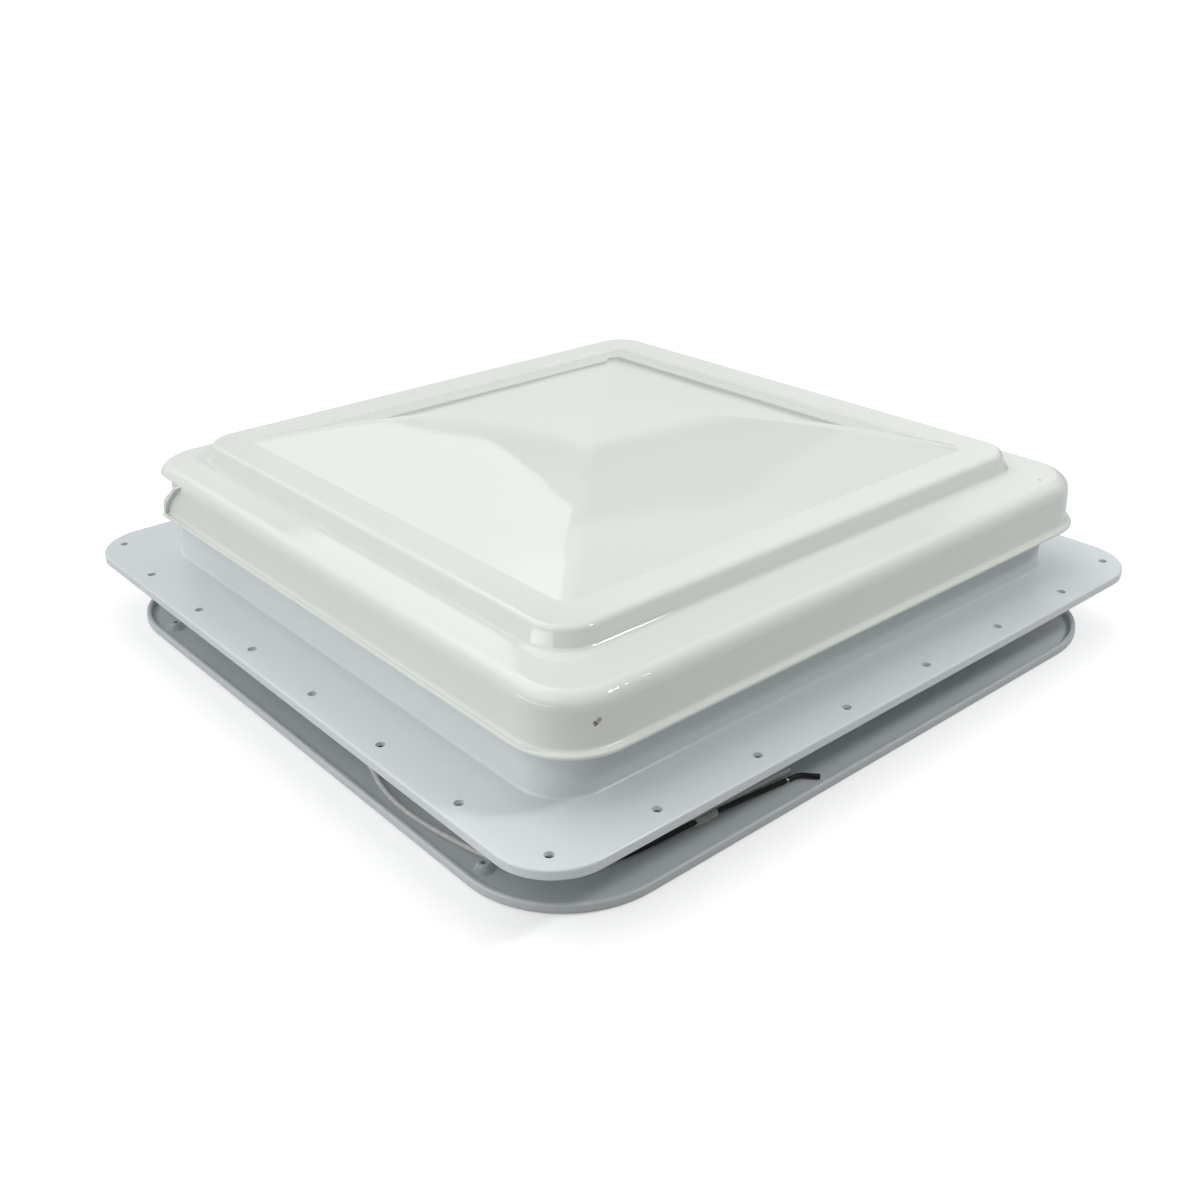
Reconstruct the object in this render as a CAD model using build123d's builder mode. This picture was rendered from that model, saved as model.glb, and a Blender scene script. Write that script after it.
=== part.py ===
from build123d import *
from math import asin, atan, cos, degrees, pi, radians, sqrt, tan
import os

# Square roof vent for a caravan, with a hinged dome lid, a worm driven lift and an extractor fan.
# It stands on its ceiling garnish, as it lies on a bench. +Z is up, +Y is the hinge side, and
# the lid opens at the -Y side. The origin is on the bench, under the middle of the vent.

os.makedirs("parts", exist_ok=True)

# Fits and allowances
running_gap = 0.06
seat_gap = 0.3
overrun = 4.0

# Roof opening that the vent drops into, which the mouldings follow
roof_cut_half = 178.0
roof_fit = 1.8

# Ceiling garnish
garnish_border = 46.2
garnish_corner = 59.0
garnish_sheet = 2.2
garnish_rim_height = 6.2
garnish_rim_wall = 3.0
garnish_foot_round = 2.6
garnish_top_round = 1.2
garnish_lip = 3.0
garnish_collar_wall = 2.2
garnish_collar_height = 40.7
boss_edge_margin = 12.2
boss_corner_margin = 62.1
boss_foot_radius = 5.2
boss_top_radius = 3.0
boss_height = 3.9
boss_hole_radius = 1.6
boss_sink_radius = 3.2
boss_sink_depth = 1.4
notch_width = 22.0
notch_depth = 12.9

# Roof base
base_sheet = 2.2
flange_border = 37.2
flange_corner = 32.0
flange_edge_drop = 5.0
flange_edge_wall = 2.2
flange_edge_round = 1.2
flange_bed_step = 0.4
neck_stand = 15.4
neck_corner = 26.0
neck_wall = 2.5
neck_height = 49.5
neck_foot_round = 1.6
collar_gap = 1.0
collar_wall = 2.5
collar_corner = 14.0
collar_depth = 30.5
orifice_ledge = 15.5
orifice_corner = 24.0
orifice_drop = 13.2
orifice_sheet = 2.0
hole_spacing = 63.5
hole_margin = 10.4
corner_hole_margin = 16.8
holes_per_side = 6
screw_hole_radius = 2.4

# Hinge
hinge_stand = 4.5
hinge_drop = 1.5
hinge_spread = 110.0
pin_radius = 2.0
pin_head_radius = 3.0
pin_head_length = 1.5
knuckle_radius = 3.3
ear_length = 14.0
lug_length = 7.0

# Lid
lid_wall = 2.4
lid_depth = 28.2
skirt_stand = 5.1
skirt_draft = 1.1
skirt_foot_corner = 31.0
skirt_front_reach = 6.5
rim_flare = 3.4
rim_height = 2.2
rim_round = 0.9
rim_blend = 1.6
plate_lip = 4.2
plate_round = 8.0
plate_inner_round = 3.0
plate_slope_rise = 2.6
plate_border = 23.8
plateau_foot_corner = 22.9
plateau_draft = 3.4
plateau_step = 12.8
plateau_edge_round = 3.6
plateau_foot_round = 2.0
dome_border = 20.8
dome_height = 22.0
hip_round = 30.0
slope_overlap_share = 0.1
cheek_foot_margin = 29.1
cheek_run = 20.5
cheek_upright = 9.0
cheek_bend_round = 14.0
cheek_bead = 2.8

# Seal between lid and neck
seal_height = 5.4
seal_inner_margin = 1.2
seal_outer_inset = 0.4

# Lift gear
operator_inset = 35.0
pivot_inset = 17.4
pivot_drop = 6.5
pivot_pin_radius = 3.0
pivot_head_radius = 4.4
pivot_head_length = 1.6
gear_module = 1.5
wheel_teeth = 40
tooth_width = 1.6
tooth_addendum = 1.3
tooth_dedendum = 1.7
tooth_sink = 0.85
flank_angle = 20.0
sector_thickness = 4.4
sector_low_teeth = 9
sector_high_teeth = 1
sector_facing_angle = 180.0
hub_radius = 6.0
worm_radius = 6.0
worm_core_radius = 4.4
worm_addendum = 1.3
worm_tooth_width = 1.8
worm_tooth_sink = 0.45
worm_turns = 3.5
worm_end_play = 0.2
worm_collar = 4.0
shaft_radius = 3.4
arm_length = 140.0
arm_tip_rise = 20.05
arm_thickness = 3.0
arm_root_radius = 7.0
arm_tip_radius = 4.6
arm_offset = 8.5
button_radius = 5.0
button_length = 8.0
button_pin_radius = 1.6
button_head_radius = 3.2
track_play = 1.35
track_sheet = 1.2
track_width = 12.0
track_front_margin = 15.4
track_length = 62.0
track_rivet_margin = 5.6
track_rivet_head = 2.8

# Operator bracket
bracket_plate = 4.0
bracket_half_width = 9.0
cheek_plate = 3.0
pivot_eye_radius = 8.0
bush_wall = 1.6
bush_flange_radius = 7.6
bush_flange_height = 1.4
bush_tube_radius = 7.4
bracket_screw_radius = 1.9
bracket_screw_head = 3.6
bracket_screw_height = 2.2
knob_radius = 20.0
knob_height = 14.0
knob_drop = 4.0
knob_flutes = 8
flute_radius = 4.0
knob_round = 1.6
knob_screw_radius = 1.3
knob_screw_head = 3.2
knob_screw_height = 1.2
knob_screw_length = 11.6

# Fan and motor
fan_tip_gap = 5.0
fan_hub_radius = 24.0
fan_drop = 3.0
fan_depth = 16.0
fan_blades = 10
blade_thickness = 1.5
blade_root_chord = 24.0
blade_tip_chord = 58.0
blade_root_angle = 36.0
blade_tip_angle = 14.0
blade_root_sink = 4.8
blade_camber_share = 0.07
fan_shaft_radius = 3.0
retainer_radius = 7.0
retainer_height = 1.4
strap_half_width = 18.0
strap_sheet = 2.0
strap_foot_margin = 3.4
strap_foot_length = 16.0
strap_crank_run = 11.5
strap_rise = 9.5
strap_flange = 5.0
strap_hole_radius = 10.0
motor_radius = 27.0
motor_height = 22.0
motor_round = 3.0
motor_nose_radius = 8.6
motor_nose_length = 3.0
motor_cap_radius = 22.0
motor_cap_height = 4.0
motor_bore_depth = 14.0
motor_screw_places = 3
motor_screw_turn_angle = 30.0
motor_screw_ring_radius = 19.0
motor_screw_head = 2.7
motor_screw_height = 1.8

# Insect screen
screen_margin = 10.0
screen_rim = 10.0
screen_corner = 28.0
screen_height = 5.0
screen_web = 2.4
screen_net = 0.8
net_cells = 12
net_bar = 2.2
net_border = 3.4
gusset_size = 60.0
shaft_window_radius = 7.5
clip_boss_radius = 3.9
clip_reach = 12.0
clip_width = 8.4
clip_sheet = 2.2
clip_screw_radius = 1.4
clip_screw_head = 2.8
clip_screw_height = 1.6

# Rocker switch
switch_side_inset = 39.0
switch_rear_inset = 35.0
switch_length = 24.0
switch_width = 18.0
switch_window_gap = 1.0
switch_drop = 4.0
rocker_length = 11.0
rocker_radius = 6.2
rocker_pocket_gap = 0.3
rocker_axis_rise = 4.0
rocker_valley = 2.2
rocker_tip_drop = 3.8
rocker_tilt_angle = 12.0
switch_plate = 2.0
switch_plate_half_width = 13.0

# Leads
lead_radius = 1.35
lead_exit_y = -25.0
lead_spacing = 7.0
lead_gap = 0.8
lead_arc_share = 0.45
grommet_height = 35.3
grommet_lip = 1.5
grommet_flange = 0.8
grommet_flange_depth = 1.2
stub_length = 20.0
copper_length = 2.4
copper_radius = 0.75
sleeve_radius = 2.5
sleeve_length = 13.0

# Half widths that follow from the roof opening
garnish_collar_half = roof_cut_half - roof_fit
garnish_half = garnish_collar_half + garnish_border
garnish_opening_half = garnish_collar_half - garnish_collar_wall - garnish_lip
collar_half = garnish_collar_half - garnish_collar_wall - collar_gap
collar_inner = collar_half - collar_wall
orifice_half = collar_inner - orifice_ledge
screen_half = collar_inner - screen_margin
fan_radius = orifice_half - fan_tip_gap
neck_half = roof_cut_half + neck_stand
neck_inner = neck_half - neck_wall
flange_half = neck_half + flange_border
hole_line = flange_half - hole_margin
corner_hole = flange_half - corner_hole_margin
skirt_top_half = neck_half + skirt_stand
skirt_foot_half = skirt_top_half + skirt_draft
rim_half = skirt_foot_half + rim_flare
plateau_foot_half = skirt_top_half - plate_border
plateau_top_half = plateau_foot_half - plateau_draft
dome_half = plateau_top_half - dome_border

# Heights that follow, from the bench up
flange_under = garnish_collar_height - flange_bed_step
flange_top = flange_under + base_sheet
orifice_low = flange_top - orifice_drop
screen_low = orifice_low - seat_gap - screen_height
clip_level = screen_low - seat_gap - clip_sheet
knob_bottom = screen_low - knob_drop - knob_height
switch_bottom = screen_low - switch_drop
strap_level = flange_top + strap_rise
strap_top = strap_level + strap_sheet
fan_high = strap_level - fan_drop
fan_low = fan_high - fan_depth
neck_top = flange_top + neck_height
hinge_z = neck_top - hinge_drop
pivot_z = hinge_z - pivot_drop
plate_under = neck_top + seat_gap + seal_height
plate_top = plate_under + lid_wall
rim_bottom = plate_top - lid_depth
plateau_foot = plate_top + plate_slope_rise
plateau_top = plate_top + plateau_step
plateau_under = plateau_top - lid_wall

# Places that follow
boss_x = garnish_half - boss_edge_margin
boss_y = garnish_half - boss_corner_margin
hinge_y = neck_half + hinge_stand
hinge_reach = ear_length / 2 + seat_gap + lug_length
cheek_foot_y = skirt_foot_half - cheek_foot_margin
cheek_top_y = cheek_foot_y - cheek_run
operator_x = collar_half - operator_inset
pivot_y = neck_half - pivot_inset
wheel_radius = gear_module * wheel_teeth / 2
worm_pitch = pi * gear_module
worm_y = pivot_y - wheel_radius - worm_radius
arm_x = operator_x + arm_offset
track_x = arm_x + arm_thickness + 2 * seat_gap
left_cheek = operator_x - sector_thickness / 2 - cheek_plate - seat_gap
right_cheek = track_x + seat_gap
strap_foot_outer = neck_inner - strap_foot_margin
strap_foot_inner = strap_foot_outer - strap_foot_length
strap_top_half = strap_foot_inner - strap_crank_run
switch_x = switch_side_inset - collar_half
switch_y = collar_half - switch_rear_inset


def square_block(low, high, half, corner, taper=0, mode=Mode.ADD):
    """Adds a block on a square outline with round corners, drawn in by its taper towards the top."""
    with BuildSketch(Plane.XY.offset(low)) as outline:
        RectangleRounded(2 * half, 2 * half, corner)
    extrude(outline.sketch, amount=high - low, taper=taper, mode=mode)


def square_ring(low, high, half, corner, wall, mode=Mode.ADD):
    """Adds an upright wall of one thickness round a square with round corners."""
    with BuildSketch(Plane.XY.offset(low)) as outline:
        RectangleRounded(2 * half, 2 * half, corner)
        RectangleRounded(2 * (half - wall), 2 * (half - wall), corner - wall, mode=Mode.SUBTRACT)
    extrude(outline.sketch, amount=high - low, mode=mode)


def disc(low, high, radius, x=0, y=0, mode=Mode.ADD):
    """Adds an upright round piece between two heights."""
    with BuildSketch(Plane.XY.offset(low)) as outline:
        with Locations((x, y)):
            Circle(radius)
    extrude(outline.sketch, amount=high - low, mode=mode)


def rod(start, stop, radius, y, z, mode=Mode.ADD):
    """Adds a round piece that lies along X."""
    with BuildSketch(Plane.YZ.offset(start)) as outline:
        with Locations((y, z)):
            Circle(radius)
    extrude(outline.sketch, amount=stop - start, mode=mode)


def across(x, y=0, z=0):
    """Returns an upright plane that faces +X, with Y to its right, at one point."""
    return Plane(origin=(x, y, z), x_dir=(0, 1, 0), z_dir=(1, 0, 0))


def slab(low, high, x_low, x_high, y_low, y_high, mode=Mode.ADD):
    """Adds a square-edged plate or bar between two heights."""
    with BuildSketch(Plane.XY.offset(low)) as outline:
        with Locations(((x_low + x_high) / 2, (y_low + y_high) / 2)):
            Rectangle(x_high - x_low, y_high - y_low)
    extrude(outline.sketch, amount=high - low, mode=mode)


def save(piece, name):
    """Labels a finished piece and writes it to its own file."""
    piece.label = name
    export_step(piece, f"parts/{name}.step")


# Ceiling garnish, a tray with its rim turned up and a collar that slides over the base's
with BuildPart() as garnish:
    square_block(0, garnish_sheet, garnish_half, garnish_corner)
    square_ring(0, garnish_rim_height, garnish_half, garnish_corner, garnish_rim_wall)
    outer_foot = garnish.edges().group_by(Axis.Z)[0].sort_by(SortBy.LENGTH)
    fillet(outer_foot, garnish_foot_round)
    fillet(garnish.edges().group_by(Axis.Z)[-1], garnish_top_round)
    square_block(-overrun, garnish_sheet + overrun, garnish_opening_half,
                 collar_corner + collar_gap - garnish_lip, mode=Mode.SUBTRACT)
    square_ring(garnish_sheet, garnish_collar_height, garnish_collar_half,
                collar_corner + garnish_collar_wall + collar_gap, garnish_collar_wall)
    for x, y in ((boss_x, boss_y), (-boss_x, boss_y), (boss_x, -boss_y), (-boss_x, -boss_y)):
        with Locations((x, y, garnish_sheet + boss_height / 2)):
            Cone(boss_foot_radius, boss_top_radius, boss_height)
        disc(-overrun, garnish_sheet + boss_height + overrun, boss_hole_radius, x, y, Mode.SUBTRACT)
        disc(0, boss_sink_depth, boss_sink_radius, x, y, Mode.SUBTRACT)
    slab(garnish_collar_height - notch_depth, garnish_collar_height + overrun,
         -garnish_collar_half - overrun, -collar_half, lead_exit_y - notch_width / 2,
         lead_exit_y + notch_width / 2, Mode.SUBTRACT)
save(garnish.part, "garnish")

# Roof base, flange with a turned edge, neck, ledge, collar and fan orifice in one moulding
side_rows = [(n - (holes_per_side - 1) / 2) * hole_spacing for n in range(holes_per_side)]
screw_places = [(x, y) for x in (-corner_hole, corner_hole) for y in (-corner_hole, corner_hole)]
for step in side_rows:
    screw_places += [(step, -hole_line), (step, hole_line), (-hole_line, step), (hole_line, step)]
clip_line = (screen_half + collar_inner) / 2
clip_places = [(clip_line, 0), (0, clip_line), (-clip_line, 0), (0, -clip_line)]
clip_turns = (180, 270, 0, 90)
ledge_screws = [(x, y) for x in (-(strap_foot_outer + strap_foot_inner) / 2,
                                 (strap_foot_outer + strap_foot_inner) / 2)
                for y in (-strap_half_width / 2, strap_half_width / 2)]
ledge_middle = (collar_inner + neck_inner) / 2
operator_screws_at = [(left_cheek - bracket_screw_head - seat_gap, ledge_middle),
                      (right_cheek + cheek_plate + bracket_screw_head + seat_gap, ledge_middle)]
switch_screws_at = [(switch_x - switch_width / 2, ledge_middle),
                    (switch_x + switch_width / 2, ledge_middle)]
with BuildPart() as base_frame:
    square_block(flange_under, flange_top, flange_half, flange_corner)
    square_ring(flange_top - flange_edge_drop, flange_top, flange_half, flange_corner,
                flange_edge_wall)
    fillet(base_frame.edges().group_by(Axis.Z)[-1], flange_edge_round)
    square_block(flange_under, neck_top, neck_half, neck_corner)
    neck_foot = base_frame.edges().filter_by_position(Axis.Z, flange_top, flange_top)
    fillet(neck_foot.filter_by(lambda edge: abs(edge.center().X) + abs(edge.center().Y)
                               < 2 * neck_half), neck_foot_round)
    square_block(flange_top, neck_top + overrun, neck_inner, neck_corner - neck_wall,
                 mode=Mode.SUBTRACT)
    square_block(flange_under, flange_under + flange_bed_step, roof_cut_half,
                 collar_corner + roof_cut_half - collar_half, mode=Mode.SUBTRACT)
    square_block(flange_under - overrun, flange_top + overrun, collar_inner,
                 collar_corner - collar_wall, mode=Mode.SUBTRACT)
    square_ring(flange_top - collar_depth, flange_top, collar_half, collar_corner, collar_wall)
    with BuildSketch(Plane.XY.offset(orifice_low)) as orifice:
        RectangleRounded(2 * collar_half - collar_wall, 2 * collar_half - collar_wall,
                         collar_corner - collar_wall / 2)
        RectangleRounded(2 * orifice_half, 2 * orifice_half, orifice_corner, mode=Mode.SUBTRACT)
    extrude(orifice.sketch, amount=orifice_sheet)
    for x, y in clip_places:
        disc(screen_low, orifice_low, clip_boss_radius, x, y)
        disc(screen_low - overrun, orifice_low, clip_screw_radius, x, y, Mode.SUBTRACT)
    for side in (-hinge_spread, hinge_spread):
        for end in (-1, 1):
            near = side + end * (ear_length / 2 + seat_gap)
            far = near + end * lug_length
            rod(min(near, far), max(near, far), knuckle_radius, hinge_y, hinge_z)
            slab(hinge_z - knuckle_radius - neck_wall, hinge_z, min(near, far), max(near, far),
                 neck_half - neck_wall / 2, hinge_y)
        rod(side - hinge_reach - overrun, side + hinge_reach + overrun, pin_radius + running_gap,
            hinge_y, hinge_z, Mode.SUBTRACT)
    with BuildSketch(Plane.XY.offset(flange_under - overrun)) as screw_holes:
        with Locations(*screw_places):
            Circle(screw_hole_radius)
        with Locations(*ledge_screws, *operator_screws_at, *switch_screws_at):
            Circle(bracket_screw_radius)
    extrude(screw_holes.sketch, amount=base_sheet + 2 * overrun, mode=Mode.SUBTRACT)
    with BuildSketch(Plane.YZ.offset(-collar_half - overrun)) as lead_hole:
        with Locations((lead_exit_y, grommet_height)):
            Rectangle(lead_spacing, 2 * lead_radius + 2 * grommet_lip)
    extrude(lead_hole.sketch, amount=collar_wall + 2 * overrun, mode=Mode.SUBTRACT)
save(base_frame.part, "base_frame")


# Dome lid, one shell made as an outer form less the same form drawn in by the wall
def vault(wall):
    """Returns the low dome, which is the shared part of two crossed arches with rounded hips."""
    arch_radius = (dome_half**2 + dome_height**2) / (2 * dome_height) - wall
    span = sqrt(dome_height * (2 * arch_radius - dome_height))
    foot = plateau_top - wall
    arches = []
    for plane in (Plane.XZ, Plane.YZ):
        with BuildSketch(plane) as arch:
            with BuildLine():
                ThreePointArc((-span, foot), (0, foot + dome_height), (span, foot))
                Line((-span, foot), (span, foot))
            make_face()
        arches.append(arch.sketch)
    with BuildPart() as form:
        extrude(arches[0], amount=span, both=True)
        extrude(arches[1], amount=span, both=True, mode=Mode.INTERSECT)
        hips = form.edges().filter_by_position(Axis.Z, foot + dome_height / 4, foot + dome_height)
        fillet(hips, hip_round - wall)
    return form.part


def skirt_outline(z, half, corner):
    """Returns the skirt's outline at a height, which reaches further out at the opening side."""
    with BuildSketch(Plane.XY.offset(z)) as outline:
        with Locations((0, -skirt_front_reach / 2)):
            RectangleRounded(2 * half, 2 * half + skirt_front_reach, corner)
    return outline.sketch


def lid_form(wall):
    """Returns the lid's outer form, or with a wall the hollow inside it."""
    low = rim_bottom - (overrun if wall else 0)
    step = atan((plateau_foot_half - plateau_top_half) / (plateau_top - plateau_foot))
    top_corner = skirt_foot_corner - skirt_foot_half + skirt_top_half - wall
    slope_run = (skirt_top_half - plateau_foot_half) * (1 + slope_overlap_share)
    slope_top = plate_top - wall + plate_slope_rise * (1 + slope_overlap_share)
    plateau_spread = (plateau_foot - plate_top) * tan(step)
    skirt_foot = skirt_outline(rim_bottom, skirt_foot_half - wall, skirt_foot_corner - wall)
    skirt_top = skirt_outline(plate_top - wall, skirt_top_half - wall, top_corner)
    with BuildSketch(Plane.XY.offset(slope_top)) as slope_end:
        RectangleRounded(2 * (skirt_top_half - wall - slope_run),
                         2 * (skirt_top_half - wall - slope_run), plateau_foot_corner - wall)
    with BuildPart() as form:
        if wall:
            extrude(skirt_foot, amount=low - rim_bottom)
        loft([skirt_foot, skirt_top])
        loft([skirt_top, slope_end.sketch])
        plate_edge = form.edges().filter_by_position(Axis.Z, plate_top - wall, plate_top - wall)
        fillet(plate_edge, plate_inner_round if wall else plate_round)
        square_block(plate_top - wall, plateau_top - wall,
                     plateau_foot_half + plateau_spread - wall,
                     plateau_foot_corner + plateau_spread - wall, taper=degrees(step))
    return form.part


def edge_outside(edge, half):
    """Returns whether a level edge lies outside the skirt's outline of this half width."""
    box = edge.bounding_box()
    return (max(box.max.X, -box.min.X, box.max.Y, -box.min.Y - skirt_front_reach) > half
            and edge.length > 2 * rim_height)


lip_bottom = plate_top - plate_lip
bead_low = rim_bottom + rim_height / 2
with BuildPart() as lid_dome:
    add(lid_form(0))
    fillet(lid_dome.edges().filter_by_position(Axis.Z, plateau_top, plateau_top),
           plateau_edge_round)
    plateau_foot_edge = lid_dome.edges().filter_by_position(
        Axis.Z, plateau_foot - plate_slope_rise / 4, plateau_foot + plate_slope_rise / 4)
    fillet(plateau_foot_edge, plateau_foot_round)
    extrude(skirt_outline(rim_bottom, rim_half, skirt_foot_corner + rim_flare), amount=rim_height)
    rim_top_edges = lid_dome.edges().filter_by_position(Axis.Z, rim_bottom + rim_height,
                                                        rim_bottom + rim_height)
    outer_rim = skirt_foot_half + rim_flare / 2
    fillet(rim_top_edges.filter_by(lambda edge: not edge_outside(edge, outer_rim)), rim_blend)
    rim_edges = lid_dome.edges().filter_by_position(Axis.Z, rim_bottom, rim_bottom + rim_height)
    fillet(rim_edges.filter_by(lambda edge: edge_outside(edge, outer_rim)), rim_round)
    add(vault(0))
    add(lid_form(lid_wall), mode=Mode.SUBTRACT)
    add(vault(lid_wall), mode=Mode.SUBTRACT)
    with BuildSketch(Plane.YZ) as hinge_side_cut:
        with BuildLine():
            FilletPolyline((cheek_foot_y, rim_bottom - overrun),
                           (cheek_foot_y, rim_bottom + cheek_upright),
                           (cheek_top_y, lip_bottom), radius=cheek_bend_round)
            Polyline((cheek_top_y, lip_bottom), (flange_half, lip_bottom),
                     (flange_half, rim_bottom - overrun), (cheek_foot_y, rim_bottom - overrun))
        make_face()
    extrude(hinge_side_cut.sketch, amount=flange_half, both=True, mode=Mode.SUBTRACT)
    for side in (-1, 1):
        with BuildSketch(Plane.YZ.offset(side * (skirt_foot_half - lid_wall / 2))) as band:
            with BuildLine():
                FilletPolyline((cheek_foot_y, bead_low),
                               (cheek_foot_y, rim_bottom + cheek_upright),
                               (cheek_top_y, lip_bottom), radius=cheek_bend_round)
                FilletPolyline((cheek_top_y - cheek_bead, lip_bottom),
                               (cheek_foot_y - cheek_bead,
                                rim_bottom + cheek_upright - cheek_bead / 2),
                               (cheek_foot_y - cheek_bead, bead_low),
                               radius=cheek_bend_round - cheek_bead)
                Line((cheek_top_y, lip_bottom), (cheek_top_y - cheek_bead, lip_bottom))
                Line((cheek_foot_y - cheek_bead, bead_low), (cheek_foot_y, bead_low))
            make_face()
        extrude(band.sketch, amount=side * (rim_half - skirt_foot_half))
    for x in (-hinge_spread, hinge_spread):
        rod(x - ear_length / 2, x + ear_length / 2, knuckle_radius, hinge_y, hinge_z)
        slab(hinge_z, plate_under + lid_wall / 2, x - ear_length / 2, x + ear_length / 2,
             hinge_y - knuckle_radius, hinge_y)
        rod(x - ear_length, x + ear_length, pin_radius + running_gap, hinge_y, hinge_z,
            Mode.SUBTRACT)
save(lid_dome.part, "lid_dome")

# Foam seal under the lid, which closes on the neck's edge
with BuildPart() as lid_seal:
    square_ring(neck_top + seat_gap, plate_under, neck_half - seal_outer_inset,
                neck_corner - seal_outer_inset, neck_wall + seal_inner_margin - seal_outer_inset)
save(lid_seal.part, "lid_seal")

# Hinge pins, each with a head at its inner end
for side, name in ((-1, "hinge_pin_left"), (1, "hinge_pin_right")):
    with BuildPart() as hinge_pin:
        inner_end = side * (hinge_spread - hinge_reach - seat_gap)
        outer_end = side * (hinge_spread + hinge_reach + seat_gap)
        head_end = inner_end - side * pin_head_length
        rod(min(inner_end, outer_end), max(inner_end, outer_end), pin_radius, hinge_y, hinge_z)
        rod(min(inner_end, head_end), max(inner_end, head_end), pin_head_radius, hinge_y, hinge_z)
    save(hinge_pin.part, name)

# Lift track, a channel under the plateau's border that the arm's button slides in
arm_rest = asin(arm_tip_rise / arm_length)
tip_y = pivot_y - arm_length * cos(arm_rest)
tip_z = pivot_z + arm_tip_rise
track_top = plateau_under
track_inner = 2 * (button_radius + track_play)
track_low = track_top - 2 * track_sheet - track_inner
track_far = track_x + track_width
track_front_y = tip_y - track_front_margin
track_rear_y = track_front_y + track_length
with BuildPart() as lift_track:
    slab(track_low, track_top, track_x, track_far, track_front_y, track_rear_y)
    slab(track_low + track_sheet, track_top - track_sheet, track_x - overrun,
         track_far - track_sheet, track_front_y - overrun, track_rear_y + overrun, Mode.SUBTRACT)
save(lift_track.part, "lift_track")

with BuildPart() as track_rivets:
    for y in (track_front_y + track_rivet_margin, track_rear_y - track_rivet_margin):
        disc(track_top - track_sheet - track_sheet / 2, track_top - track_sheet,
             track_rivet_head, (track_x + track_far - track_sheet) / 2, y)
save(track_rivets.part, "track_rivets")

# Lift arm, a pressed bar from the pivot to the button
with BuildPart() as lift_arm:
    with BuildSketch(Plane.YZ.offset(arm_x)) as bar:
        with Locations((pivot_y, pivot_z)):
            Circle(arm_root_radius)
        with Locations((tip_y, tip_z)):
            Circle(arm_tip_radius)
        make_hull()
    extrude(bar.sketch, amount=arm_thickness)
    rod(arm_x - overrun, arm_x + overrun, pivot_pin_radius + running_gap, pivot_y, pivot_z,
        Mode.SUBTRACT)
    rod(arm_x - overrun, arm_x + overrun, button_pin_radius, tip_y, tip_z, Mode.SUBTRACT)
save(lift_arm.part, "lift_arm")

# Slide button and the pin that holds it on the arm
button_x = track_x + seat_gap
with BuildPart() as slide_button:
    rod(button_x, button_x + button_length, button_radius, tip_y, tip_z)
    rod(arm_x + arm_thickness, button_x, button_head_radius, tip_y, tip_z)
    rod(arm_x, button_x + overrun, button_pin_radius, tip_y, tip_z, Mode.SUBTRACT)
save(slide_button.part, "slide_button")
with BuildPart() as button_pin:
    rod(arm_x, button_x + overrun, button_pin_radius, tip_y, tip_z)
    rod(arm_x - pin_head_length, arm_x, button_head_radius, tip_y, tip_z)
save(button_pin.part, "button_pin")

# Sector gear, whose teeth are cut to run with the worm
tooth_angle = 360 / wheel_teeth
flank = tan(radians(flank_angle))
sector_teeth = sector_high_teeth + sector_low_teeth + 1
sector_start = sector_facing_angle - sector_high_teeth * tooth_angle
sector_span = sector_teeth * tooth_angle
rim_radius = wheel_radius - tooth_dedendum
tooth_root = tooth_dedendum + tooth_sink
with BuildPart() as sector_gear:
    with BuildSketch(across(operator_x - sector_thickness / 2, pivot_y, pivot_z)) as sector:
        Circle(hub_radius)
        with BuildLine():
            rim_arc = CenterArc((0, 0), rim_radius, sector_start - tooth_angle / 2, sector_span)
            Line((0, 0), rim_arc @ 0)
            Line((0, 0), rim_arc @ 1)
        make_face()
        with PolarLocations(wheel_radius, sector_teeth, sector_start, sector_span):
            Polygon((-tooth_root, -tooth_width / 2 - tooth_root * flank),
                    (tooth_addendum, -tooth_width / 2 + tooth_addendum * flank),
                    (tooth_addendum, tooth_width / 2 - tooth_addendum * flank),
                    (-tooth_root, tooth_width / 2 + tooth_root * flank), align=None)
    extrude(sector.sketch, amount=sector_thickness)
    rod(operator_x, arm_x, hub_radius, pivot_y, pivot_z)
    rod(operator_x - overrun, arm_x + overrun, pivot_pin_radius + running_gap, pivot_y, pivot_z,
        Mode.SUBTRACT)
save(sector_gear.part, "sector_gear")

# Worm shaft, from the knob up through the bush to the worm
worm_rise = worm_turns * worm_pitch
worm_low = pivot_z - worm_rise / 2 - worm_tooth_width
worm_high = pivot_z + worm_rise / 2 + worm_tooth_width
worm_root = worm_radius - worm_core_radius + worm_tooth_sink
shaft_foot = knob_bottom + knob_screw_height
with BuildPart() as worm_shaft:
    disc(shaft_foot, worm_low, shaft_radius, operator_x, worm_y)
    disc(worm_low - worm_collar, worm_high, worm_core_radius, operator_x, worm_y)
    with BuildLine() as thread_path:
        Helix(worm_pitch, worm_rise, worm_radius,
              center=(operator_x, worm_y, pivot_z - worm_rise / 2))
    thread_line = thread_path.line
    with BuildSketch(Plane(origin=thread_line @ 0, x_dir=(1, 0, 0), z_dir=thread_line % 0)) as thread:
        Polygon((-worm_root, -worm_tooth_width / 2 - worm_root * flank),
                (worm_addendum, -worm_tooth_width / 2 + worm_addendum * flank),
                (worm_addendum, worm_tooth_width / 2 - worm_addendum * flank),
                (-worm_root, worm_tooth_width / 2 + worm_root * flank), align=None)
    sweep(thread.sketch, path=thread_line, is_frenet=True)
    disc(shaft_foot - overrun, shaft_foot + knob_screw_length, knob_screw_radius, operator_x,
         worm_y, Mode.SUBTRACT)
save(worm_shaft.part, "worm_shaft")

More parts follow.
